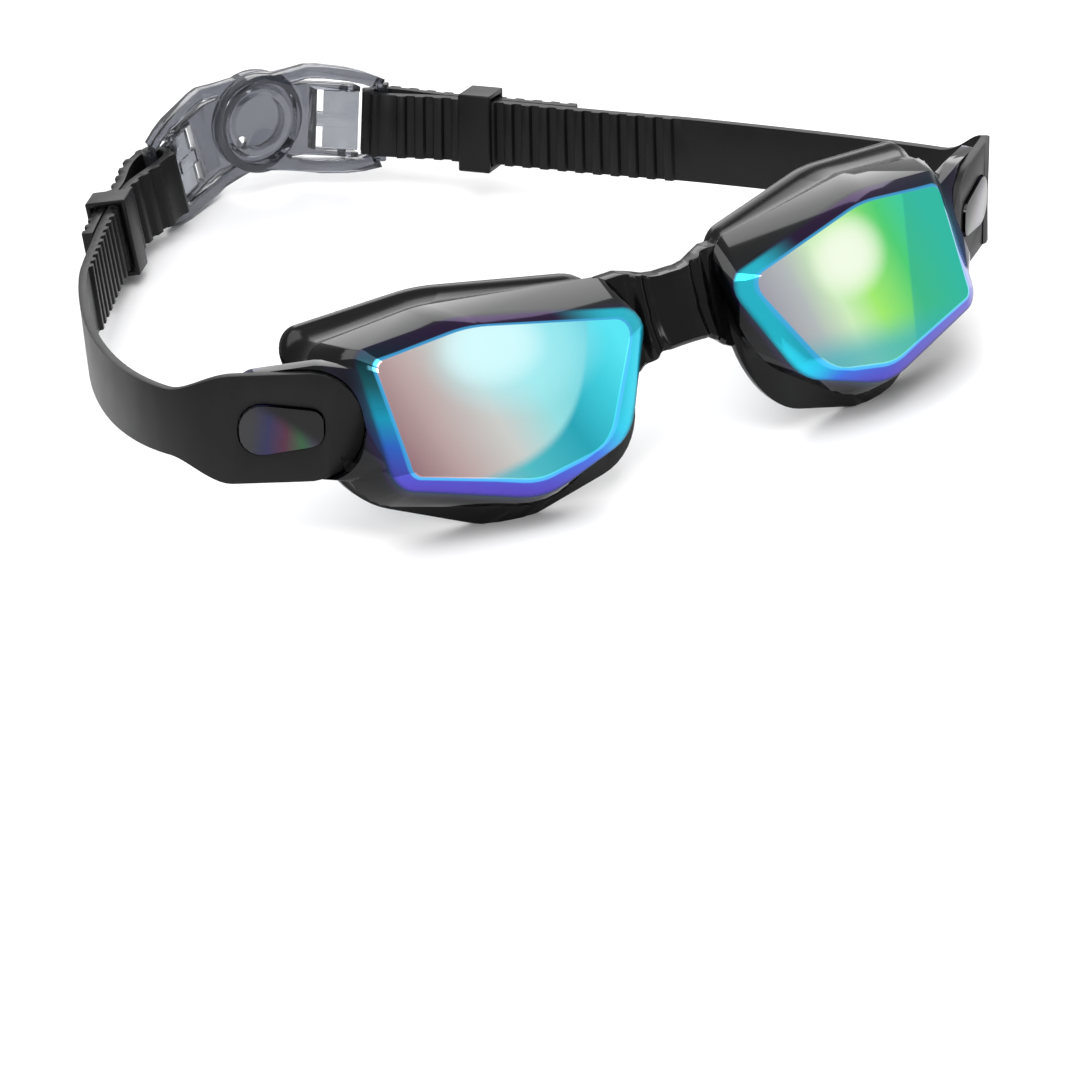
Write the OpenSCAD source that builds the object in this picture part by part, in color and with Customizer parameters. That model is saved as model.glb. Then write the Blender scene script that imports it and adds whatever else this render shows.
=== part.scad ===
// Swim goggles: two mirrored lens shells, a one-piece soft frame with both eye seals and the nose bridge,
// two ribbed straps, a snap clasp with a lever adjuster in each half, and a keeper loop on each strap.
// +X is the wearer's left, +Y runs from the lenses to the clasp, +Z is up. The goggles stand on z = 0.

/* [Lenses] */
// Distance between the centres of the two lenses
lens_spacing = 79; // [74:0.5:88]
// Height of the lens centres above the surface
lens_height = 20; // [19.6:0.1:24]
// Scale of the lens and seal outlines
lens_size = 1; // [0.85:0.01:1.12]
// Wall of the lens shells
lens_wall = 1.8; // [1.2:0.1:2.4]
// Depth of the bevel round the front facet
bevel_depth = 2.2; // [1:0.1:3]
// Depth of the shells from the facet to the seal
shell_depth = 7.2; // [5.5:0.1:9]

/* [Seals and bridge] */
// Depth of the soft seals from the shell to the face
seal_depth = 6.1; // [4:0.1:9]
// Wall of the seals
seal_wall = 2.4; // [1.6:0.1:3.2]
// Width of the lip that lies on the face
lip_width = 4; // [3:0.1:6]
// Thickness of the nose bridge
bridge_wall = 3.2; // [2.4:0.1:4.5]

/* [Temple arms] */
// Distance between the two strap bosses, centre to centre
boss_spacing = 153.4; // [150:0.2:168]
// Distance of the bosses behind the front of the lenses
boss_setback = 18.8; // [16:0.1:22]
// Height of the bosses above the surface
boss_height = 21.9; // [20:0.1:26]
// Angle of the temple arms behind the straight line through the bosses
arm_angle = 33.4; // [28:0.1:38]
// Thickness of the arms
arm_wall = 2.4; // [1.8:0.1:3.2]

/* [Straps] */
// Width of the straps
strap_width = 12.2; // [10:0.1:12.4]
// Thickness of the straps between the ribs
strap_wall = 1.5; // [1.2:0.1:1.8]
// Height of the ribs
rib_height = 0.7; // [0.4:0.1:0.9]
// Distance from one rib to the next
rib_pitch = 3.6; // [3:0.1:6]
// Height of the end round the boss
paddle_width = 20.2; // [17:0.1:22]
// Length of strap that carries ribs, measured from the clasp
ribbed_length = 60; // [30:1:75]
// Length of the loose tails, measured from the clasp
tail_length = 42; // [28:1:60]
// Gap round the boss and the paddle
eyelet_gap = 0.3; // [0.2:0.05:0.6]

/* [Clasp] */
// Radius of the stud plate and of the socket ring
disc_r = 9.6; // [8.8:0.1:10]
// Radius of the socket bore
socket_r = 7.9; // [6.8:0.1:8.1]
// Gap between the stud and its socket, and between the two discs
snap_gap = 0.3; // [0.2:0.05:0.5]
// Height of the clasp across its rails
clasp_height = 21; // [21:0.1:24]
// Length of the socket half's arm beyond the disc
socket_arm = 16.5; // [16:0.1:24]
// Length of the stud half's arm beyond the disc
stud_arm = 21.5; // [18:0.1:28]
// Angle by which both arms bend towards the head
clasp_bend = 32; // [15:1:36]
// Radius of the end bars that the straps turn round
bar_r = 1.3; // [1:0.1:1.6]
// Radius of the lever pins
pin_r = 0.8; // [0.6:0.05:1]
// Gap between a lever pin and its hole
pin_gap = 0.06; // [0.04:0.01:0.1]

/* [Keepers] */
// Width of the keeper loops along the strap
keeper_width = 6.4; // [4:0.1:9]
// Wall of the keeper loops
keeper_wall = 1; // [0.8:0.1:1.6]
// Gap between a keeper and the straps inside it
keeper_gap = 0.45; // [0.25:0.05:0.6]

/* [Hidden] */
RIGHT = -1;
LEFT = 1;
corner_steps = 5;
$fn = 48;

// Outlines as seen from the front, from each lens's own centre: [outwards, up, corner radius].
facet_corners = [[23, 12.4, 1.5], [4, 14.4, 30], [-26.2, 10, 2], [-14.5, -7.2, 9], [0, -9.8, 14], [22.2, -5, 1.5]];
bevel_corners = [[25.5, 13.9, 2.5], [5, 15.6, 30], [-31, 10.4, 3], [-20.5, -8, 10], [-1, -14, 18], [25.5, -7.5, 4]];
back_corners = [[31, 12.8, 5], [8, 15.8, 30], [-30.5, 14.6, 5], [-26.5, -5, 14], [-5, -17.6, 20], [29, -11.5, 7]];
rim_corners = [[31, 13.4, 5], [4, 16.4, 40], [-29, 13.8, 7], [-27, -13.5, 14], [2, -21.5, 24], [29, -12.5, 12]];

// The lenses lie tipped back on their lower edges. Planes across the depth: [offset, slope outwards, slope upwards].
lean = 1.17;
lens_front = -6.9;
facet_plane = [lens_front, 0.132, 0.583];
bevel_plane = facet_plane + [bevel_depth * lean, 0, 0];
back_plane = [lens_front + shell_depth * lean, 0.19, 0.593];
rim_plane = [lens_front + (shell_depth + seal_depth) * lean, 0.24, 0.6];
lip_plane = rim_plane - [2.2, 0, 0];

// Bridge sections from the middle outwards: [x, backwards, lower edge, upper edge], and its own lean.
bridge_sections = [[0, 0, 21.4, 33.2], [2.2, 0.1, 21.3, 33.1], [4.5, 0.4, 21, 33.3], [7, 1.2, 19.6, 34], [9.5, 2.2, 17.6, 34.4],
                   [12.5, 3.2, 16, 33.8], [15.5, 3.8, 15, 33]];
bridge_crease = 26.8;
bridge_fronts = [-4.6, -1, 1.3];

// Temple arm, boss and paddle outlines in the arm's own frame: [backwards, up, corner radius].
arm_corners = [[-10.5, -11, 4], [-10.5, 11.5, 4], [7.3, 9.4, 3.5], [7.3, -8.4, 5]];
boss_corners = [[7, -5.2, 4.3], [7, 5.2, 4.3], [-7.4, 3.1, 2.4], [-7.4, -3.1, 2.4]];
boss_proud = 0.5;
end_wall = 3;
boss_y = lens_front + boss_setback;
paddle_nose = 14.4;
paddle_round = 9.5;
paddle_tail = 8;
neck_length = 12;

// Straps: the reach of the curve at the boss and at the clasp for each side, and its fall beyond the boss.
boss_fall = [1.5, -3];
boss_reach = [32, 14];
clasp_reach = [36, 12];
wrap_r = [2.6, 1.7];
layer_gap = 0.4;
half_gap = (strap_wall + layer_gap) / 2;
gather_length = 14;
fade_length = 24;
rib_base = 2.2;
rib_top = 1.5;
samples = 90;

// Clasp: place of the disc on the floor plan, its turn, its tip backwards and the drop of each half.
disc_x = 9.4;
disc_y = 140.5;
disc_turn = 8;
disc_tip = 5;
half_drop = [10.5, 6.3];
ring_low = -2.6;
ring_high = 0.2;
plate_low = ring_high + snap_gap;
plate_high = plate_low + 2;
stud_taper = 0.55;
stud_depth = 1.9;
stud_wall = 1.3;
bend_start = disc_r + 0.3;
rail_wall = 2.3;
box_half = 7;
box_wall = 1;
lever_length = 6.8;
lever_gap = 0.4;
slot_width = 2;
lever_wall = 1.6;
keeper_place = [23, 20];

function index(side) = side == RIGHT ? 0 : 1;
function unit(v) = v / norm(v);
function smooth(t) = let (k = min(max(t, 0), 1)) k * k * (3 - 2 * k);
function wrapped(list, i) = list[(i + len(list)) % len(list)];

// The arc that rounds corner b of a path a, b, c.
function rounded_corner(a, b, c, wanted) =
    let (u = unit(a - b), v = unit(c - b), half = acos(u * v) / 2,
         r = min(wanted, 0.44 * min(norm(a - b), norm(c - b)) * tan(half)), centre = b + unit(u + v) * r / sin(half),
         from = b + u * r / tan(half) - centre, to = b + v * r / tan(half) - centre)
    [for (i = [0 : corner_steps])
        let (t = i / corner_steps, d = from * sin((90 - half) * 2 * (1 - t)) + to * sin((90 - half) * 2 * t))
        centre + d / sin((90 - half) * 2)];

// A closed outline with its corners rounded; each corner is [x, y, radius].
function outline(corners) = [for (i = [0 : len(corners) - 1])
    let (a = wrapped(corners, i - 1), b = corners[i], c = wrapped(corners, i + 1))
    each rounded_corner([a[0], a[1]], [b[0], b[1]], [c[0], c[1]], b[2])];

// The corners of an outline moved inwards by d, for outlines that run anticlockwise.
function inset(corners, d) = [for (i = [0 : len(corners) - 1])
    let (a = wrapped(corners, i - 1), b = corners[i], c = wrapped(corners, i + 1),
         u = unit([b[0] - a[0], b[1] - a[1]]), v = unit([c[0] - b[0], c[1] - b[1]]),
         shift = ([-u[1], u[0]] + [-v[1], v[0]]) * d / (1 + u * v))
    [b[0] + shift[0], b[1] + shift[1], max(b[2] - d, 0.8)]];

// The two outer corners are held back, so the wall behind the arm stays thick.
function pinched(corners) = [for (i = [0 : len(corners) - 1]) corners[i] - [i == 0 || i == len(corners) - 1 ? end_wall : 0, 0, 0]];

// A lens outline laid on a plane across the depth, in the goggles' frame.
function ring(side, corners, plane) = [for (p = outline(corners))
    let (a = p[0] * lens_size, c = p[1] * lens_size)
    [side * (lens_spacing / 2 + a), plane[0] + plane[1] * a + plane[2] * c, lens_height + c]];

// A solid through rings with equal numbers of points; a closed one joins its last ring to its first.
module loft(rings, flip = false, closed = false) {
    count = len(rings[0]);
    all = count * len(rings);
    sides = [for (r = [0 : len(rings) - (closed ? 1 : 2)], i = [0 : count - 1])
        let (a = r * count + i, b = r * count + (i + 1) % count, c = (a + count) % all, d = (b + count) % all)
        each [[a, d, b], [a, c, d]]];
    first = [for (i = [0 : count - 1]) i];
    last = [for (i = [0 : count - 1]) (len(rings) - 1) * count + count - 1 - i];
    faces = closed ? sides : concat(sides, [first], [last]);
    turned = [for (f = faces) [for (i = [len(f) - 1 : -1 : 0]) f[i]]];
    polyhedron([for (r = rings) each r], flip ? turned : faces, convexity = 6);
}

module on_arm(side) {
    translate([side * boss_spacing / 2, boss_y, boss_height])
        mirror([side == RIGHT ? 1 : 0, 0, 0])
            rotate([0, 0, arm_angle]) rotate([90, 0, 0]) children();
}

// An outline in the arm's frame as a plate between two distances outwards from the arm's outer face.
module arm_plate(side, corners, low, high) {
    on_arm(side) translate([0, 0, low]) linear_extrude(high - low) polygon(outline(corners));
}

function paddle_half(x) =
    let (nose = sqrt(max(0.01, 1 - pow(max(0, -x - paddle_nose + paddle_round) / paddle_round, 2))),
         neck = smooth((x - paddle_tail) / neck_length))
    paddle_width / 2 * nose * (1 - neck) + strap_width / 2 * neck;

function paddle_outline(gap) =
    let (top = [for (x = [-paddle_nose : 0.4 : paddle_tail + neck_length]) [x, paddle_half(x) + gap]])
    concat([[-paddle_nose - gap, 0]], top, [for (i = [len(top) - 1 : -1 : 0]) [top[i][0], -top[i][1]]]);

module shell_body(side) {
    loft([ring(side, facet_corners, facet_plane), ring(side, bevel_corners, bevel_plane), ring(side, back_corners, back_plane)],
         side == LEFT);
}

// The shell is a cup: its rings run down the outside, across the rim and back up the inside.
module shell(side) {
    loft([ring(side, facet_corners, facet_plane), ring(side, bevel_corners, bevel_plane), ring(side, back_corners, back_plane),
          ring(side, pinched(inset(back_corners, lens_wall + 0.4)), back_plane),
          ring(side, pinched(inset(facet_corners, lens_wall)), facet_plane + [lens_wall * lean, 0, 0])], side == LEFT);
}

// A narrow strip inside the wall at the outer end of an outline.
function end_strip(side, corners, plane) =
    let (low = [corners[5][0], corners[5][1]], high = [corners[0][0], corners[0][1]], d = unit(high - low), n = [-d[1], d[0]])
    [for (p = [low + d * 4 + n * 0.4, high - d * 3 + n * 0.4, high - d * 3 + n * 1.4, low + d * 4 + n * 1.4])
        let (a = p[0] * lens_size, c = p[1] * lens_size)
        [side * (lens_spacing / 2 + a), plane[0] + plane[1] * a + plane[2] * c, lens_height + c]];

// The arm grows out of the outer end of the shell.
module arm_root(side) {
    hull() {
        arm_plate(side, arm_corners, -arm_wall, 0);
        loft([end_strip(side, bevel_corners, bevel_plane), end_strip(side, back_corners, back_plane - [0.5, 0, 0])], side == LEFT);
    }
}

module lens(side) {
    color([0.25, 0.62, 0.72]) translate(-middle) union() {
        difference() {
            union() {
                shell(side);
                arm_root(side);
            }
            on_arm(side) translate([0, 0, -0.05]) linear_extrude(12) polygon(paddle_outline(eyelet_gap));
        }
        arm_plate(side, boss_corners, -1, strap_wall + boss_proud);
    }
}

module seal(side) {
    loft([ring(side, back_corners, back_plane), ring(side, rim_corners, lip_plane), ring(side, rim_corners, rim_plane),
          ring(side, inset(rim_corners, lip_width), rim_plane), ring(side, inset(back_corners, seal_wall), back_plane)],
         side == LEFT, true);
}

// The space between the middles of a seal's walls, where the bridge ends.
module seal_core(side) {
    loft([ring(side, inset(back_corners, 1), back_plane - [0.5, 0, 0]), ring(side, inset(rim_corners, 1.2), rim_plane + [0.3, 0, 0])],
         side == LEFT);
}

function bridge_ring(s, side) =
    let (x = side * s[0] * lens_spacing / 79, f = s[1], deep = bridge_wall * lean, e = bridge_fronts)
    [[x, e[2] + f, s[3]], [x, e[1] + f, bridge_crease], [x, e[0] + f, s[2]],
     [x, e[0] + f + deep, s[2]], [x, e[1] + f + deep, bridge_crease], [x, e[2] + f + deep, s[3]]];

module bridge() {
    for (side = [RIGHT, LEFT], i = [0 : len(bridge_sections) - 2]) hull()
        loft([bridge_ring(bridge_sections[i], side), bridge_ring(bridge_sections[i + 1], side)], side == RIGHT);
}

module soft_frame() {
    color([0.08, 0.08, 0.09]) translate(-middle) difference() {
        union() {
            seal(RIGHT);
            seal(LEFT);
            difference() {
                bridge();
                for (side = [RIGHT, LEFT]) {
                    shell_body(side);
                    seal_core(side);
                }
            }
        }
        for (side = [RIGHT, LEFT]) {
            arm_root(side);
            on_arm(side) linear_extrude(12) polygon(paddle_outline(eyelet_gap));
        }
        translate([-150, -50, -20]) cube([300, 200, 20]);
    }
}

// The clasp's arms bend towards the head beyond the disc; u runs outwards and v away from the head.
function bent(u, v, high) = u <= bend_start ? [u, v]
    : [bend_start + (u - bend_start) * cos(clasp_bend) + (v - high) * sin(clasp_bend),
       high + (v - high) * cos(clasp_bend) - (u - bend_start) * sin(clasp_bend)];

// A point of one half, from the centre of the disc.
function half_offset(side, u, v, w) =
    let (q = bent(u, v, rail_high(side)), t = half_drop[index(side)], x = side * (q[0] * cos(t) + w * sin(t)),
         z = w * cos(t) - q[0] * sin(t), y = q[1] * cos(disc_turn) - x * sin(disc_turn))
    [x * cos(disc_turn) + q[1] * sin(disc_turn), y * cos(disc_tip) + z * sin(disc_tip), z * cos(disc_tip) - y * sin(disc_tip)];

// The rails run from the disc to the ends of the end bar: [u, w], the lower one with w negative.
function rail_path(side) =
    let (far = bar_u(side), mid = clasp_height / 2 - rail_wall / 2)
    [[2, disc_r - 1.4], [6, mid - 0.7], [10, mid - 0.15], [13, mid], [far - 7, mid - 0.3], [far - 4, mid - 0.8], [far - 2, mid - 1.4],
     [far - 0.7, mid - 1.8]];
function rail_low(side) = side == RIGHT ? plate_low : ring_low;
function rail_high(side) = side == RIGHT ? plate_high : ring_high;
function bar_v(side) = (rail_low(side) + rail_high(side)) / 2;

// The disc hangs where the lower rails just reach the surface.
disc_z = -min([for (side = [RIGHT, LEFT], p = rail_path(side), v = [rail_low(side), rail_high(side)])
    half_offset(side, p[0], v, -p[1] - rail_wall / 2)[2]]);
disc_place = [disc_x, disc_y, disc_z];
function half_point(side, u, v, w) = disc_place + half_offset(side, u, v, w);

function arm_length(side) = side == RIGHT ? stud_arm : socket_arm;
function bar_u(side) = bend_start + arm_length(side) - bar_r - 0.1;
function bar_centre(side) = half_point(side, bar_u(side), bar_v(side), 0);
function arm_direction(side) = unit(half_point(side, bar_u(side) + 1, bar_v(side), 0) - bar_centre(side));
function bar_direction(side) = unit(half_point(side, bar_u(side), bar_v(side), 1) - bar_centre(side));
function lever_end(side) = bar_u(side) - wrap_r[index(side)] - strap_wall - rib_height - lever_gap;
function lever_start(side) = lever_end(side) - lever_length;
function pin_u(side) = lever_end(side) - 0.45 * lever_length;

// Straps. The guide curve runs from the paddle to the end bar.
function arm_point(side, x) = [side * (boss_spacing / 2 + x * cos(arm_angle)), boss_y + x * sin(arm_angle), boss_height]
    + [side * sin(arm_angle), -cos(arm_angle), 0] * strap_wall / 2;
function bezier(p, t) = p[0] * pow(1 - t, 3) + p[1] * 3 * t * pow(1 - t, 2) + p[2] * 3 * t * t * (1 - t) + p[3] * pow(t, 3);
function guide_points(side) =
    let (a = arm_point(side, paddle_tail), d = [side * cos(arm_angle), sin(arm_angle), 0], e = bar_centre(side))
    [a, a + d * boss_reach[index(side)] + [0, 0, boss_fall[index(side)]], e + arm_direction(side) * clasp_reach[index(side)], e];
function running(points, i = 0, total = 0) = i >= len(points) ? []
    : let (now = i == 0 ? 0 : total + norm(points[i] - points[i - 1])) concat([now], running(points, i + 1, now));
function guide(side) = let (p = guide_points(side)) [for (i = [0 : samples]) bezier(p, i / samples)];
function lookup_point(points, lengths, s) =
    let (i = max([for (k = [0 : len(lengths) - 2]) lengths[k] <= s ? k : 0]), t = (s - lengths[i]) / (lengths[i + 1] - lengths[i]))
    points[i] * (1 - t) + points[i + 1] * t;

// Half the distance between the two layers, at a distance from the clasp.
function spread(side, x) = let (wide = wrap_r[index(side)] + strap_wall / 2) wide + (half_gap - wide) * smooth(x / gather_length);
function main_shift(side, x) = -spread(side, x) * (1 - smooth((x - tail_length) / fade_length));

// One cross-section of a strap: four corners round a point, with the rib on the convex side.
function section(p, n, w, half, rib) = [p + n * strap_wall / 2 + w * half, p + n * strap_wall / 2 - w * half,
                                        p - n * (strap_wall / 2 + rib) - w * half, p - n * (strap_wall / 2 + rib) + w * half];

// Places where sections are needed: evenly where plain, and at the edges of each rib.
function stations(from, to, ribbed_from) =
    let (slope = (rib_base - rib_top) / 2)
    concat([for (s = [from : 1 : min(ribbed_from, 15)]) [s, 0]], [for (s = [18 : 3 : min(ribbed_from, to) - 1]) [s, 0]],
           [for (k = [0 : floor((to - max(from, ribbed_from)) / rib_pitch) - 1])
               let (s = max(from, ribbed_from) + k * rib_pitch)
               each [[s, 0], [s + slope, rib_height], [s + slope + rib_top, rib_height], [s + rib_base, 0]]]);

function strap_rings(side) =
    let (g = guide(side), lengths = running(g), total = lengths[samples], w_end = bar_direction(side),
         first = paddle_nose + paddle_tail, k = index(side), turn_r = wrap_r[k] + strap_wall / 2,
         out = arm_direction(side), centre = bar_centre(side), v_end = side * cross(-out, w_end),
         paddle = [for (x = [-paddle_nose + 0.05, -paddle_nose + 0.8, -paddle_nose + 2, each [-paddle_nose + 4 : 2.4 : paddle_tail - 0.5]])
             let (n = [side * sin(arm_angle), -cos(arm_angle), 0]) section(arm_point(side, x), n, [0, 0, 1], paddle_half(x), 0)],
         main = [for (q = stations(0, total, total - ribbed_length))
             let (s = q[0], a = lookup_point(g, lengths, max(s - 0.5, 0)), b = lookup_point(g, lengths, min(s + 0.5, total)),
                  t = unit(b - a), w0 = unit([0, 0, 1] * (1 - smooth(s / total)) + w_end * smooth(s / total)),
                  n = side * unit(cross(t, w0)), w = side * cross(n, t), x = total - s)
             section(lookup_point(g, lengths, s) + n * main_shift(side, x), n, w, paddle_half(s + paddle_tail), q[1])],
         turn = [for (i = [0 : 16])
             let (angle = i * 180 / 16, n = v_end * cos(angle) + out * sin(angle), rib = i % 4 == 1 || i % 4 == 2 ? rib_height : 0)
             section(centre - n * turn_r, n, w_end, strap_width / 2, rib)],
         tail = [for (q = stations(1, tail_length, 1))
             let (s = total - q[0], a = lookup_point(g, lengths, max(s - 0.5, 0)), b = lookup_point(g, lengths, min(s + 0.5, total)),
                  t = unit(a - b), w0 = unit([0, 0, 1] * (1 - smooth(s / total)) + w_end * smooth(s / total)),
                  n = side * unit(cross(t, w0)), w = side * cross(n, t))
             section(lookup_point(g, lengths, s) - n * spread(side, q[0]), n, w, strap_width / 2, q[1])])
    concat(paddle, main, turn, tail);

// The middle of the whole thing on the floor plan, which is moved to the origin.
side_edges = [for (side = [RIGHT, LEFT]) max([for (q = strap_rings(side), p = q) side * p[0]])];
front_edge = min([for (p = ring(LEFT, facet_corners, facet_plane)) p[1]]);
rear_edge = disc_y + max([for (a = [0 : 15 : 345]) half_offset(RIGHT, disc_r * cos(a), plate_high, disc_r * sin(a))[1]]);
middle = [(side_edges[1] - side_edges[0]) / 2, (front_edge + rear_edge) / 2, 0];

module strap(side) {
    color([0.13, 0.13, 0.14]) translate(-middle) difference() {
        loft(strap_rings(side), side == RIGHT);
        arm_plate(side, inset(boss_corners, -eyelet_gap), -1, strap_wall + 1);
    }
}

// Places children in a half's disc frame, with X along the half and Y away from the head.
module on_disc(side) {
    translate(disc_place) rotate([-disc_tip, 0, 0]) rotate([0, 0, -disc_turn])
        mirror([side == RIGHT ? 1 : 0, 0, 0]) rotate([0, half_drop[index(side)], 0]) children();
}

// Places children in a half's arm frame, with X = 0 at the bend.
module on_half_arm(side) {
    on_disc(side) translate([bend_start, rail_high(side), 0]) rotate([0, 0, -clasp_bend]) translate([0, -rail_high(side), 0])
        children();
}

// A round plate or bore about the disc's axis, between two levels.
module disc(low, high, r_low, r_high) {
    translate([0, low, 0]) rotate([-90, 0, 0]) cylinder(h = high - low, r1 = r_low, r2 = r_high);
}

// A flat strip of even width along a path.
module strip(path, width) {
    last = len(path) - 1;
    normals = [for (i = [0 : last]) let (d = unit(path[min(i + 1, last)] - path[max(i - 1, 0)])) [-d[1], d[0]] * width / 2];
    polygon(concat([for (i = [0 : last]) path[i] + normals[i]], [for (i = [last : -1 : 0]) path[i] - normals[i]]));
}

// A half seen square to its disc: the disc, the rails and the box frame, X outwards and Y up.
function seen_u(side, u) = bent(u, bar_v(side), rail_high(side))[0];

module half_outline(side) {
    open_from = seen_u(side, lever_start(side) - slot_width);
    close_at = seen_u(side, lever_end(side) - 0.6);
    for (up = [-1, 1]) strip([for (p = rail_path(side)) [seen_u(side, p[0]), up * p[1]]], rail_wall);
    difference() {
        translate([disc_r - 3, -box_half]) square([close_at - disc_r + 3, 2 * box_half]);
        translate([open_from, box_wall - box_half]) square([close_at - open_from + 1, 2 * (box_half - box_wall)]);
    }
    circle(disc_r, $fn = 96);
}

// The same half seen from above: a strip that bends towards the head.
module half_profile(side) {
    high = rail_high(side);
    wall = high - rail_low(side);
    far = arm_length(side) + 3;
    polygon([[-disc_r - 1, high], [bend_start, high], [bend_start + far * cos(clasp_bend), high - far * sin(clasp_bend)],
             [bend_start + far * cos(clasp_bend) - wall * sin(clasp_bend), high - far * sin(clasp_bend) - wall * cos(clasp_bend)],
             [bend_start - wall * tan(clasp_bend / 2), high - wall], [-disc_r - 1, high - wall]]);
}

module half_frame(side) {
    difference() {
        union() {
            on_disc(side) intersection() {
                translate([0, rail_high(side) + 2, 0]) rotate([90, 0, 0]) linear_extrude(30) half_outline(side);
                translate([0, 0, -20]) linear_extrude(40) half_profile(side);
            }
            on_half_arm(side) translate([bar_u(side) - bend_start, bar_v(side), 2.9 - clasp_height / 2])
                cylinder(h = clasp_height - 5.8, r = bar_r);
        }
        on_half_arm(side) translate([pin_u(side) - bend_start, bar_v(side), -box_half - 1])
            cylinder(h = 2 * box_half + 2, r = pin_r + pin_gap);
    }
}

module clasp_socket() {
    color([0.55, 0.57, 0.62, 0.6]) translate(-middle) difference() {
        half_frame(LEFT);
        on_disc(LEFT) disc(ring_low - 1, ring_high + 1, socket_r, socket_r);
    }
}

module clasp_stud() {
    floor_r = socket_r - snap_gap - stud_taper * stud_depth;
    color([0.55, 0.57, 0.62, 0.6]) translate(-middle) difference() {
        union() {
            half_frame(RIGHT);
            on_disc(RIGHT) disc(plate_low - stud_depth, plate_low + 0.5, floor_r, socket_r - snap_gap);
        }
        on_disc(RIGHT) {
            disc(plate_low - stud_depth - 1, plate_high - stud_wall, floor_r - stud_wall, floor_r - stud_wall);
            translate([3.6, 0, -3.4]) disc(plate_low, plate_high + 1, 1.1, 1.1);
        }
    }
}

module lever(side) {
    inner = box_half - box_wall - 0.3;
    color([0.62, 0.64, 0.68, 0.6]) translate(-middle) on_half_arm(side) {
        translate([lever_start(side) - bend_start, bar_v(side) - lever_wall / 2, -inner]) cube([lever_length, lever_wall, 2 * inner]);
        translate([pin_u(side) - bend_start, bar_v(side), -box_half]) cylinder(h = 2 * box_half, r = pin_r);
        translate([lever_start(side) - bend_start - 1.2, bar_v(side) - lever_wall / 2 - 0.5, -1.3])
            cube([lever_length - 0.6, lever_wall + 0.5, 2.6]);
    }
}

// A point and its directions on the guide curve, at a distance from the clasp.
function guide_frame(side, x) =
    let (g = guide(side), lengths = running(g), total = lengths[samples], s = total - x,
         t = unit(lookup_point(g, lengths, s + 0.5) - lookup_point(g, lengths, s - 0.5)),
         w0 = unit([0, 0, 1] * (1 - smooth(s / total)) + bar_direction(side) * smooth(s / total)), n = side * unit(cross(t, w0)))
    [lookup_point(g, lengths, s), t, n, side * cross(n, t)];

module keeper(side) {
    f = guide_frame(side, keeper_place[index(side)]);
    depth = 2 * (half_gap + strap_wall / 2 + rib_height + keeper_gap);
    height = strap_width + 2 * keeper_gap;
    color([0.12, 0.12, 0.13]) translate(-middle) multmatrix([[f[1][0], f[2][0], f[3][0], f[0][0]], [f[1][1], f[2][1], f[3][1], f[0][1]],
                                          [f[1][2], f[2][2], f[3][2], f[0][2]], [0, 0, 0, 1]])
        difference() {
            cube([keeper_width, depth + 2 * keeper_wall, height + 2 * keeper_wall], center = true);
            cube([keeper_width + 1, depth, height], center = true);
        }
}

lens(RIGHT);  // lens_right
lens(LEFT);  // lens_left
soft_frame();
strap(RIGHT);  // strap_right
strap(LEFT);  // strap_left
clasp_stud();
clasp_socket();
lever(RIGHT);  // lever_right
lever(LEFT);  // lever_left
keeper(RIGHT);  // keeper_right
keeper(LEFT);  // keeper_left
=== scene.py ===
# Swim goggles: mirror-coated lens shells, black silicone seals and bridge, ribbed straps, smoke-grey clasp.
# The object frame is the CAD frame in metres: +X the wearer's left, +Y from lenses to clasp, +Z up.
import math

import bpy
import bmesh
from mathutils import Matrix, Vector


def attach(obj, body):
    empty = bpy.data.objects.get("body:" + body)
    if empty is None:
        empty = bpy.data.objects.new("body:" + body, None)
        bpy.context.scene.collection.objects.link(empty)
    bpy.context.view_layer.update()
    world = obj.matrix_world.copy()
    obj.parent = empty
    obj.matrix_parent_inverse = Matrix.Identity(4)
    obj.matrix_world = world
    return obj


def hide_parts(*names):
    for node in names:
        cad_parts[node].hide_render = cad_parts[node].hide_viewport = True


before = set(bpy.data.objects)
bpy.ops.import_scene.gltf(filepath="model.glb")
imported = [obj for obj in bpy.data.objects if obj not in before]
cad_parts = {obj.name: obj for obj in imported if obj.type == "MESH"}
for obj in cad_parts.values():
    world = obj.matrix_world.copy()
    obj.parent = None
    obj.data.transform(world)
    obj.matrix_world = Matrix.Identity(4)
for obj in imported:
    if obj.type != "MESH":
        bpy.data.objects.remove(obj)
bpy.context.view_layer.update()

mm = 0.001
middle = Vector((-2.407, 65.814, 0.0))
print("stage: frame loaded")


# Shader maths: sockets with operators.
class Sock:
    def __init__(self, tree, out):
        self.tree = tree
        self.out = out

    def math(self, op, other=None, third=None):
        n = self.tree.nodes.new("ShaderNodeMath")
        n.operation = op
        for i, v in enumerate((self, other, third)):
            if isinstance(v, Sock):
                self.tree.links.new(v.out, n.inputs[i])
            elif v is not None:
                n.inputs[i].default_value = v
        return Sock(self.tree, n.outputs[0])

    def __add__(self, o):
        return self.math("ADD", o)

    __radd__ = __add__

    def __sub__(self, o):
        return self.math("SUBTRACT", o)

    def __rsub__(self, o):
        return (self * -1.0) + o

    def __mul__(self, o):
        return self.math("MULTIPLY", o)

    __rmul__ = __mul__

    def step(self, low, high):
        n = self.tree.nodes.new("ShaderNodeMapRange")
        n.interpolation_type = "SMOOTHSTEP"
        self.tree.links.new(self.out, n.inputs["Value"])
        n.inputs["From Min"].default_value = min(low, high)
        n.inputs["From Max"].default_value = max(low, high)
        n.inputs["To Min"].default_value = 0.0 if low < high else 1.0
        n.inputs["To Max"].default_value = 1.0 if low < high else 0.0
        return Sock(self.tree, n.outputs["Result"])


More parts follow.
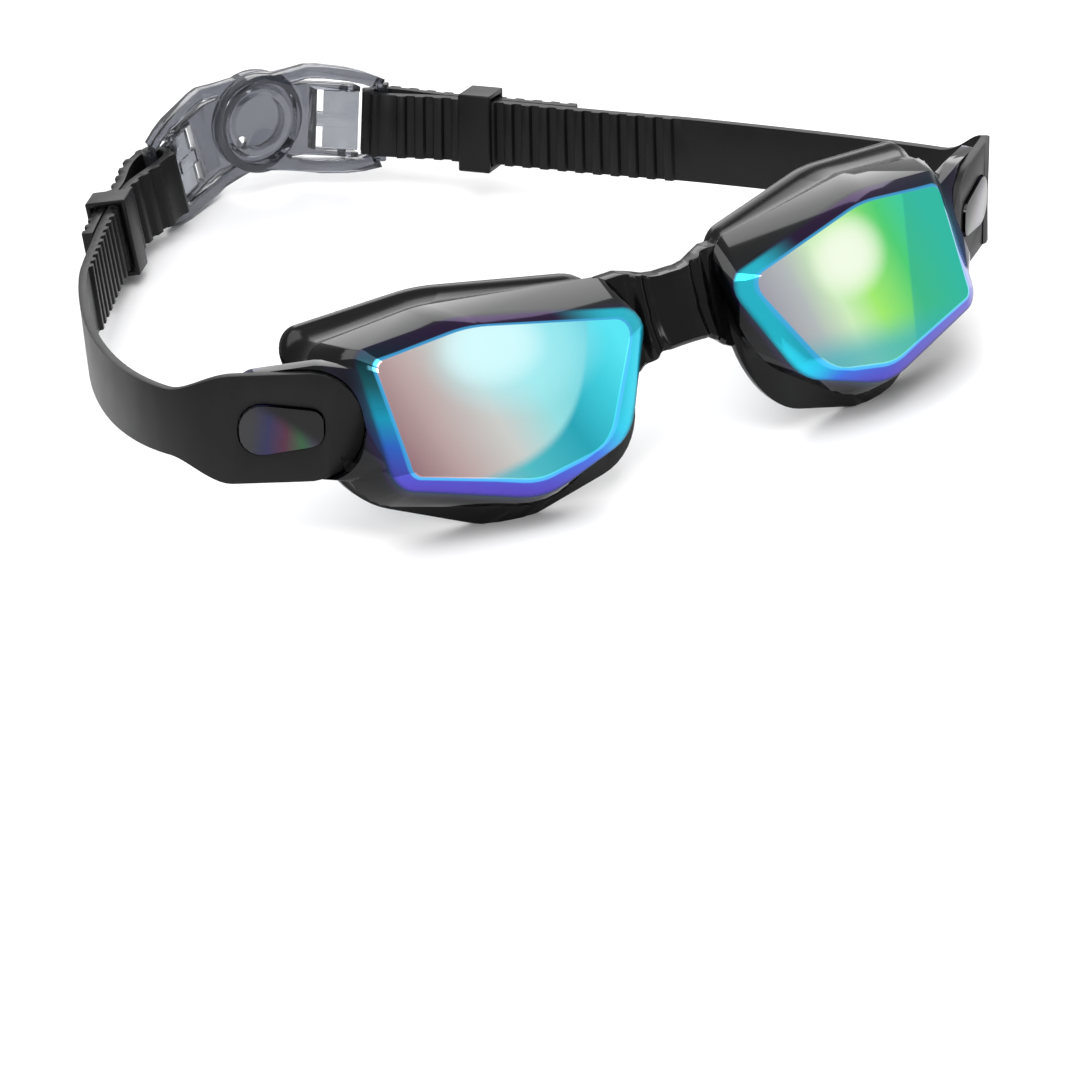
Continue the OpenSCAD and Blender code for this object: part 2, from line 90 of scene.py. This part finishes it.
# A material and the shader sockets that vary over it.
class Paint:
    def __init__(self, name, **fixed):
        self.mat = bpy.data.materials.new(name)
        self.mat.use_nodes = True
        self.tree = self.mat.node_tree
        self.bsdf = self.tree.nodes["Principled BSDF"]
        for k, v in fixed.items():
            self.bsdf.inputs[k.replace("_", " ")].default_value = v
        coords = self.node("ShaderNodeTexCoord").outputs["Object"]
        self.at = coords
        parts = self.node("ShaderNodeSeparateXYZ", {0: coords})
        self.x, self.y, self.z = (Sock(self.tree, parts.outputs[i]) * (1 / mm) for i in range(3))

    # A node of one type, with its settings and the values or links of its sockets.
    def node(self, kind, sockets=None, **settings):
        n = self.tree.nodes.new(kind)
        for k, v in settings.items():
            setattr(n, k, v)
        for k, v in (sockets or {}).items():
            if isinstance(v, Sock):
                self.tree.links.new(v.out, n.inputs[k])
            elif isinstance(v, bpy.types.NodeSocket):
                self.tree.links.new(v, n.inputs[k])
            else:
                n.inputs[k].default_value = v
        return n

    def noise(self, scale, detail=3.0):
        mapped = self.node("ShaderNodeMapping", {0: self.at})
        n = self.node("ShaderNodeTexNoise", {"Vector": mapped.outputs[0], "Scale": scale, "Detail": detail})
        return Sock(self.tree, n.outputs["Fac"])

    def ramp(self, value, stops):
        n = self.node("ShaderNodeValToRGB", {0: value})
        e = n.color_ramp.elements
        while len(e) < len(stops):
            e.new(0.5)
        for k, (at, colour) in enumerate(stops):
            e[k].position = at
            e[k].color = (*colour, 1)
        return n.outputs["Color"]

    def mix(self, amount, first, second):
        first, second = ((*v, 1) if isinstance(v, tuple) else v for v in (first, second))
        return self.node("ShaderNodeMix", {0: amount, 6: first, 7: second}, data_type="RGBA").outputs[2]

    def feed(self, name, value):
        self.tree.links.new(value.out if isinstance(value, Sock) else value, self.bsdf.inputs[name])

    def bump(self, height, strength, distance):
        n = self.node("ShaderNodeBump", {"Strength": strength, "Distance": distance, "Height": height})
        self.tree.links.new(n.outputs[0], self.bsdf.inputs["Normal"])


# Mirror-coated lens, with painted highlights and a painted glow. Lens places are [outwards, up] from its
# centre in millimetres, and depth runs back from the facet's plane, so the coating's colour can run across
# the facet, the bevel and the wall.
lensLook = dict(
    # The last value on the next line is the strength of a painted glow on the facet and bevel.
    facetPlane=(-6.9, 0.132, 0.583), centre=(39.5, 20.0), bevelEnd=2.6, paintedGlow=0.3,
    nearPale=[(0.02, (0.30, 0.17, 0.19)), (0.20, (0.50, 0.38, 0.37)), (0.42, (0.60, 0.62, 0.60)),
              (0.62, (0.30, 0.74, 0.76)), (0.95, (0.08, 0.60, 0.72))],
    nearDeep=[(0.15, (0.28, 0.44, 0.50)), (0.42, (0.08, 0.50, 0.56)), (0.66, (0.02, 0.38, 0.48)),
              (0.86, (0.05, 0.62, 0.74)), (1.0, (0.10, 0.80, 0.92))],
    # Colours of the painted highlight and of its painted halo of light on the near facet.
    nearPaintedHighlight=(0.90, 1.0, 1.0), nearPaintedHalo=(0.45, 0.95, 1.0),
    farFace=[(0.03, (0.30, 0.27, 0.36)), (0.25, (0.46, 0.50, 0.50)), (0.40, (0.62, 0.86, 0.52)),
             (0.55, (0.36, 0.84, 0.16)), (0.75, (0.08, 0.62, 0.18)), (0.97, (0.03, 0.60, 0.48))],
    # The first colour on the next line is the far facet's painted highlight.
    farPaintedHighlight=(0.93, 1.0, 0.84), farEnd=(0.03, 0.42, 0.30), farLow=(0.04, 0.45, 0.50),
    bevel=[(0.0, (0.07, 0.04, 0.34)), (0.22, (0.03, 0.12, 0.52)), (0.45, (0.01, 0.30, 0.46)),
           (0.68, (0.01, 0.10, 0.12)), (0.85, (0.004, 0.02, 0.03)), (1.0, (0.02, 0.008, 0.035))],
    # The second colour on the next line is a painted highlight line along the facet's edge.
    bevelInner=(0.02, 0.55, 0.70), paintedEdgeHighlight=(0.06, 0.42, 0.80),
    wall=[(0.0, (0.006, 0.030, 0.050)), (0.3, (0.012, 0.006, 0.030)), (0.6, (0.002, 0.003, 0.004)),
          (1.0, (0.001, 0.001, 0.0015))],
    bossBands=[(0.05, (0.05, 0.01, 0.07)), (0.3, (0.015, 0.08, 0.03)), (0.5, (0.06, 0.01, 0.03)),
               (0.7, (0.012, 0.012, 0.06)), (0.9, (0.02, 0.02, 0.022))])


# A soft painted highlight on a facet: 1 in its middle and 0 past its reach.
def paintedHighlightSpot(a, c, place, widths):
    da = a - place[0]
    dc = c - place[1]
    return (da * da * widths[0] + dc * dc * widths[1]).step(1.0, 0.0)


# The near facet: a pale part and, past a curved line, a deeper one, with a painted highlight and a painted
# halo of light round it.
def nearFacet(p, a, c, cloud):
    v = lensLook
    along = (a * -1.0 + 24.0 + c * 0.35 + cloud * 2.0) * (1 / 50.0)
    curve = (a * -0.125 - 2.125).math("EXPONENT") * 18.0 - 8.5
    face = p.mix((c - curve).step(1.0, -1.0), p.ramp(along, v["nearPale"]), p.ramp(along, v["nearDeep"]))
    # A painted highlight, and a fainter painted halo of light beside it, at fixed places on the near facet.
    face = p.mix(paintedHighlightSpot(a, c, (1.0, 11.0), (0.0075, 0.020)), face, v["nearPaintedHighlight"])
    return p.mix(paintedHighlightSpot(a, c, (-3.0, 10.0), (0.0028, 0.008)) * 0.55, face, v["nearPaintedHalo"])


# The far facet: grey to green, with a painted highlight, a sharp darker end and a blue lower edge.
def farFacet(p, a, c, cloud):
    v = lensLook
    along = (a + 27.0 + c * 0.25 + cloud * 2.0) * (1 / 51.0)
    # A painted highlight at a fixed place on the far facet.
    face = p.mix(paintedHighlightSpot(a, c, (-3.0, 8.0), (0.009, 0.018)) * 0.95, p.ramp(along, v["farFace"]), v["farPaintedHighlight"])
    face = p.mix((a - c * 0.35).step(9.0, 9.8) * 0.6, face, v["farEnd"])
    return p.mix((c + a * 0.10).step(-2.0, -8.0) * 0.8, face, v["farLow"])


def lensPaint(name, side):
    v = lensLook
    offset, slopeOut, slopeUp = v["facetPlane"]
    p = Paint(name, IOR=1.4, Specular_IOR_Level=0.35, Coat_Weight=0.12, Coat_Roughness=0.02)
    a = (p.x + middle.x) * side - v["centre"][0]
    c = p.z - v["centre"][1]
    depth = (p.y + middle.y) - (a * slopeOut + c * slopeUp + offset)
    cloud = p.noise(90, 2.0)
    face = nearFacet(p, a, c, cloud) if side < 0 else farFacet(p, a, c, cloud)
    bevel = p.ramp((c * 0.09 + a * -0.02 + cloud * 0.35).step(-1.2, 1.5), v["bevel"])
    bevel = p.mix(a.step(-12.0, -24.0) * 0.8, bevel, v["bevelInner"])
    wall = p.ramp((depth + cloud * 3.0 + c * 0.08).step(3.0, 7.5), v["wall"])
    bands = p.ramp((a - 33.0 + cloud * 3.0) * (1 / 12.0), v["bossBands"])
    colour = p.mix(depth.step(0.1, 0.35), face, bevel)
    # A painted highlight line along the facet's edge, just behind its plane.
    colour = p.mix(depth.step(0.10, 0.22) * depth.step(0.75, 0.5) * 0.7, colour, v["paintedEdgeHighlight"])
    colour = p.mix(depth.step(v["bevelEnd"] - 0.5, v["bevelEnd"] + 0.2), colour, wall)
    colour = p.mix(a.step(31.0, 33.0) * depth.step(9.0, 11.0), colour, bands)
    p.feed("Base Color", colour)
    # Painted glow: the facet and bevel give off light in their own colours, though they are no lamp.
    p.feed("Emission Color", p.mix(depth.step(2.6, 1.8), (0.0, 0.0, 0.0), colour))
    p.bsdf.inputs["Emission Strength"].default_value = v["paintedGlow"]
    p.feed("Metallic", depth.step(3.2, 2.0) * 0.9)
    p.feed("Roughness", cloud * 0.06 + 0.05)
    return p.mat


def rubberPaint(name, dark, rough, grain):
    p = Paint(name, IOR=1.4, Specular_IOR_Level=0.3)
    blotch = p.noise(120, 4.0)
    worn = (dark * 1.7, dark * 1.7, dark * 1.8)
    p.feed("Base Color", p.ramp(blotch, [(0.3, (dark, dark, dark * 1.05)), (0.7, worn)]))
    p.feed("Roughness", blotch * 0.12 + rough)
    p.bump(p.noise(2600, 2.0), grain, 0.00006)
    return p.mat


def smokePaint(name, tint):
    p = Paint(name, IOR=1.46, Transmission_Weight=0.9)
    blotch = p.noise(160, 3.0)
    p.feed("Base Color", p.ramp(blotch, [(0.3, tuple(t * 0.9 for t in tint)), (0.7, tint)]))
    p.feed("Roughness", blotch * 0.06 + 0.03)
    p.bump(p.noise(900, 2.0), 0.12, 0.00005)
    return p.mat


lensMats = {-1: lensPaint("coatRight", -1), 1: lensPaint("coatLeft", 1)}
# Rubber: darkness, roughness, grain. Smoke plastic: tint.
rubberLook = dict(silicone=(0.0018, 0.13, 0.08), strap=(0.0030, 0.36, 0.2), keeper=(0.0028, 0.32, 0.2))
smokeLook = dict(clasp=(0.16, 0.165, 0.19), lever=(0.28, 0.29, 0.32))
siliconeMat = rubberPaint("silicone", *rubberLook["silicone"])
strapMat = rubberPaint("strapRubber", *rubberLook["strap"])
keeperMat = rubberPaint("keeperRubber", *rubberLook["keeper"])
smokeMat = smokePaint("smokePlastic", smokeLook["clasp"])
leverMat = smokePaint("leverPlastic", smokeLook["lever"])
print("stage: materials made")


def deselect():
    for o in bpy.context.selected_objects:
        o.select_set(False)


def activate(o):
    deselect()
    o.select_set(True)
    bpy.context.view_layer.objects.active = o


def finishPiece(o, mat, slotName, body, nodes, angle=35.0, bevel=None, segments=3, limit=30.0):
    activate(o)
    if bevel:
        m = o.modifiers.new("edges", "BEVEL")
        m.width = bevel
        m.segments = segments
        m.limit_method = "ANGLE"
        m.angle_limit = math.radians(limit)
        m.use_clamp_overlap = True
        bpy.ops.object.modifier_apply(modifier=m.name)
    bpy.ops.object.shade_smooth_by_angle(angle=math.radians(angle))
    o.data.materials.clear()
    o.data.materials.append(mat)
    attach(o, body)
    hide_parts(*nodes)
    return o


# A merged copy of a CAD node, with flat areas joined up so that its edges can be rounded.
def cadCopy(node, name, flat=1.0):
    src = bpy.data.objects[node]
    mesh = src.data.copy()
    mesh.transform(src.matrix_world)
    o = bpy.data.objects.new(name, mesh)
    bpy.context.collection.objects.link(o)
    bm = bmesh.new()
    bm.from_mesh(mesh)
    bmesh.ops.remove_doubles(bm, verts=bm.verts, dist=0.000004)
    bmesh.ops.dissolve_limit(bm, angle_limit=math.radians(flat), verts=bm.verts, edges=bm.edges)
    bmesh.ops.recalc_face_normals(bm, faces=bm.faces)
    bm.to_mesh(mesh)
    bm.free()
    return o


# A surface through rings of equal numbers of points, given in millimetres from the lens frame.
def loftPiece(name, rings, closed=False, capped=False):
    bm = bmesh.new()
    rows = [[bm.verts.new((Vector(p) - middle) * mm) for p in ring] for ring in rings]
    count = len(rows[0])
    for r in range(len(rows) if closed else len(rows) - 1):
        a, b = rows[r], rows[(r + 1) % len(rows)]
        for i in range(count):
            bm.faces.new((a[i], a[(i + 1) % count], b[(i + 1) % count], b[i]))
    if capped:
        bm.faces.new(rows[0])
        bm.faces.new(rows[-1])
    bmesh.ops.recalc_face_normals(bm, faces=bm.faces)
    mesh = bpy.data.meshes.new(name)
    bm.to_mesh(mesh)
    bm.free()
    o = bpy.data.objects.new(name, mesh)
    bpy.context.collection.objects.link(o)
    return o


# Seals: outlines seen from the front, [outwards, up, corner radius], laid on leaning planes.
sealShape = dict(
    back=[(31, 12.8, 5), (8, 15.8, 30), (-30.5, 14.6, 5), (-26.5, -5, 14), (-5, -17.6, 20), (29, -11.5, 7)],
    rim=[(31, 13.4, 5), (4, 16.4, 40), (-29, 13.8, 7), (-27, -13.5, 14), (2, -21.5, 24), (29, -12.5, 12)],
    backPlane=(1.524, 0.19, 0.593), rimPlane=(8.661, 0.24, 0.6), wall=2.4, lip=4.0, lipDepth=2.2, waist=0.9)


def insetCorners(corners, d):
    out = []
    for i, b in enumerate(corners):
        a, c = corners[i - 1], corners[(i + 1) % len(corners)]
        u = Vector((b[0] - a[0], b[1] - a[1])).normalized()
        w = Vector((c[0] - b[0], c[1] - b[1])).normalized()
        s = (Vector((-u.y, u.x)) + Vector((-w.y, w.x))) * d / (1 + u.dot(w))
        out.append((b[0] + s.x, b[1] + s.y, max(b[2] - d, 0.8)))
    return out


def roundedOutline(corners, steps=10):
    out = []
    for i, b in enumerate(corners):
        a, c = corners[i - 1], corners[(i + 1) % len(corners)]
        here = Vector(b[:2])
        u = (Vector(a[:2]) - here).normalized()
        w = (Vector(c[:2]) - here).normalized()
        half = math.acos(max(-1, min(1, u.dot(w)))) / 2
        shorter = min((Vector(a[:2]) - here).length, (Vector(c[:2]) - here).length)
        r = min(b[2], 0.46 * shorter * math.tan(half))
        centre = here + (u + w).normalized() * r / math.sin(half)
        start = here + u * r / math.tan(half) - centre
        end = here + w * r / math.tan(half) - centre
        sweep = math.pi - 2 * half
        for k in range(steps + 1):
            t = k / steps
            reach = start * math.sin(sweep * (1 - t)) + end * math.sin(sweep * t)
            out.append(centre + reach / math.sin(sweep))
    return out


def laid(side, corners, plane, shift=0.0):
    ring = []
    for q in roundedOutline(corners):
        z = max(20 + q.y, 0.0)
        ring.append((side * (39.5 + q.x), plane[0] + shift + plane[1] * q.x + plane[2] * (z - 20), z))
    return ring


def between(one, two, t):
    return [tuple(p + (q - p) * t for p, q in zip(a, b)) for a, b in zip(one, two)]


def makeSeal(side, name):
    s = sealShape
    back, rim = s["back"], s["rim"]
    rings = [laid(side, back, s["backPlane"]),
             laid(side, insetCorners(back, 0.25), s["backPlane"], 0.6)]
    outer = laid(side, rim, s["rimPlane"], -s["lipDepth"])
    neck = between(laid(side, insetCorners(back, s["waist"]), s["backPlane"], 1.6),
                   laid(side, insetCorners(rim, s["waist"]), s["rimPlane"], -s["lipDepth"] - 1.2), 0.55)
    rings += [neck, laid(side, insetCorners(rim, 0.35), s["rimPlane"], -s["lipDepth"] - 0.35), outer,
              laid(side, rim, s["rimPlane"], -0.9), laid(side, insetCorners(rim, 0.25), s["rimPlane"], -0.3),
              laid(side, insetCorners(rim, 0.9), s["rimPlane"]),
              laid(side, insetCorners(rim, s["lip"] - 0.7), s["rimPlane"], -0.1),
              laid(side, insetCorners(rim, s["lip"]), s["rimPlane"], -0.8),
              laid(side, insetCorners(rim, s["lip"] - 0.4), s["rimPlane"], -1.6),
              laid(side, insetCorners(back, s["wall"]), s["backPlane"], 0.2),
              laid(side, insetCorners(back, s["wall"]), s["backPlane"])]
    return loftPiece(name, rings, closed=True)


# Bridge: [x, backwards, lower edge, upper edge], leaning front with a crease and two folds at each end.
bridgeShape = dict(
    sections=[(0, 0, 21.4, 33.2), (2.2, 0.1, 21.3, 33.1), (4.5, 0.4, 21, 33.3), (7, 1.2, 19.6, 34),
              (9.5, 2.2, 17.6, 34.4), (12.5, 3.2, 16, 33.8), (15.5, 3.8, 15, 33)],
    crease=26.8, fronts=(-4.6, -1.0, 1.3), wall=3.74, fold=0.75, halfWidth=15.0, slices=100, topRound=1.1)


# How far the front sinks in at the folds, and swells between them.
def foldDepth(out):
    def ridge(place, width):
        return math.exp(-((out - place) / width) ** 2)
    return bridgeShape["fold"] * (ridge(5.2, 0.7) + 0.7 * ridge(8.2, 0.8) - 0.4 * ridge(6.7, 0.8))


def bridgeRing(x):
    b = bridgeShape
    s = b["sections"]
    out = abs(x)
    k = max(i for i in range(len(s) - 1) if s[i][0] <= out + 1e-9)
    t = (out - s[k][0]) / (s[k + 1][0] - s[k][0])
    back, low, high = (s[k][j] + (s[k + 1][j] - s[k][j]) * t for j in (1, 2, 3))
    lowY, midY, topY = (e + back for e in b["fronts"])
    crease, deep, r = b["crease"], b["wall"], b["topRound"]
    front = [
        (topY + 0.35, high), (topY - 0.05, high - r * 0.5), (topY - 0.25, high - 1.4),
        (midY + 0.1 + (topY - midY) * 0.4, crease + (high - crease) * 0.4), (midY + 0.1, crease + 0.8),
        (midY - 0.25, crease - 0.7), (lowY + (midY - lowY) * 0.5, (low + crease) / 2),
        (lowY + 0.25, low + r), (lowY + 0.6, low + 0.25), (lowY + 1.2, low)]
    rear = [(lowY + deep - 0.9, low), (lowY + deep - 0.2, low + 0.7), (midY + deep, crease),
            (topY + deep - 0.2, high - 0.7), (topY + deep - 0.9, high)]
    fold = foldDepth(out)
    return [(x, y + fold, z) for y, z in front] + [(x, y, z) for y, z in rear]


def makeBridge(name):
    half, slices = bridgeShape["halfWidth"], bridgeShape["slices"]
    xs = [-half + 2 * half * i / slices for i in range(slices + 1)]
    return loftPiece(name, [bridgeRing(x) for x in xs], capped=True)


sealRight = makeSeal(-1, "sealRight")
sealLeft = makeSeal(1, "sealLeft")
bridge = makeBridge("bridgePiece")
for piece in (sealRight, sealLeft, bridge):
    finishPiece(piece, siliconeMat, "soft_frame", "front", ["soft_frame"], angle=50.0)
print("stage: seals and bridge made")

# Lens shells and straps: their CAD shapes are right, so merged copies get rounded edges.
lensEdges = dict(angle=32.0, bevel=0.0005, limit=24.0)
strapEdges = dict(angle=32.0, bevel=0.00025, segments=2, limit=38.0)
for node, name, side in (("lens_right", "lensRight", -1), ("lens_left", "lensLeft", 1)):
    finishPiece(cadCopy(node, name, 0.5), lensMats[side], "lens", "front", [node], **lensEdges)
for node, name in (("strap_right", "strapRight"), ("strap_left", "strapLeft")):
    finishPiece(cadCopy(node, name, 0.3), strapMat, "strap", "front", [node], **strapEdges)
print("stage: lenses and straps made")

# Clasp halves, levers and keepers.
claspEdges = dict(bevel=0.0003, segments=2)
leverEdges = dict(bevel=0.0002, segments=2)
keeperEdges = dict(bevel=0.0004, segments=3)
claspPlan = [
    ("clasp_stud", "claspStud", "stud_half", "clasp", smokeMat, claspEdges),
    ("clasp_socket", "claspSocket", "socket_half", "clasp", smokeMat, claspEdges),
    ("lever_right", "leverRight", "right_lever", "lever", leverMat, leverEdges),
    ("lever_left", "leverLeft", "left_lever", "lever", leverMat, leverEdges),
    ("keeper_right", "keeperRight", "right_keeper", "keeper", keeperMat, keeperEdges),
    ("keeper_left", "keeperLeft", "left_keeper", "keeper", keeperMat, keeperEdges)]
for node, name, body, slotName, mat, edges in claspPlan:
    finishPiece(cadCopy(node, name), mat, slotName, body, [node], **edges)
print("stage: clasp, levers and keepers made")

# Stage: pale floor, soft lights, camera.
floorLook = dict(size=6.0, dark=(0.86, 0.86, 0.87), light=(0.88, 0.88, 0.89), rough=0.28)
bpy.ops.mesh.primitive_plane_add(size=floorLook["size"], location=(0, 0, 0))
floor = bpy.context.active_object
floor.name = "floorPlane"
floorPaint = Paint("floorPaint", IOR=1.4)
floorCloud = floorPaint.noise(3.0)
floorStops = [(0.3, floorLook["dark"]), (0.7, floorLook["light"])]
floorPaint.feed("Base Color", floorPaint.ramp(floorCloud, floorStops))
floorPaint.feed("Roughness", floorCloud * 0.1 + floorLook["rough"])
floor.data.materials.append(floorPaint.mat)

# Name, place, target, size and power of each soft light.
lightPlan = [
    ("keyLight", (-0.25, -0.15, 0.95), (0.0, 0.0, 0.0), 0.9, 9.0),
    ("fillLight", (-0.95, -0.75, 0.75), (0.0, 0.0, 0.02), 0.45, 5.0),
    ("rimLight", (0.65, 0.75, 0.65), (0.0, 0.0, 0.02), 0.8, 6.0)]
for name, place, target, size, power in lightPlan:
    data = bpy.data.lights.new(name, "AREA")
    data.energy = power
    data.size = size
    o = bpy.data.objects.new(name, data)
    bpy.context.collection.objects.link(o)
    o.location = place
    o.rotation_euler = (Vector(target) - Vector(place)).to_track_quat("-Z", "Y").to_euler()
world = bpy.data.worlds.new("studio")
bpy.context.scene.world = world
world.use_nodes = True
world.node_tree.nodes["Background"].inputs[0].default_value = (1.0, 1.0, 1.0, 1)
world.node_tree.nodes["Background"].inputs[1].default_value = 0.62

cameraData = bpy.data.cameras.new("mainCamera")
camera = bpy.data.objects.new("mainCamera", cameraData)
bpy.context.collection.objects.link(camera)
forward = Vector((0.54405, 0.71546, -0.43832)).normalized()
up = Vector((0.2691, 0.3460, 0.8987))
right = forward.cross(up).normalized()
up = right.cross(forward)
eye = (Vector((-702.2, -883.72, 532.9)) - middle) * mm
turned = Matrix((right, up, -forward)).transposed().to_4x4()
camera.matrix_world = Matrix.Translation(eye) @ turned
cameraData.sensor_width = 36.0
cameraData.lens = 235.9
cameraData.clip_end = 20.0
bpy.context.scene.camera = camera
bpy.context.scene.view_settings.view_transform = "Standard"
print("stage: floor, lights and camera set")
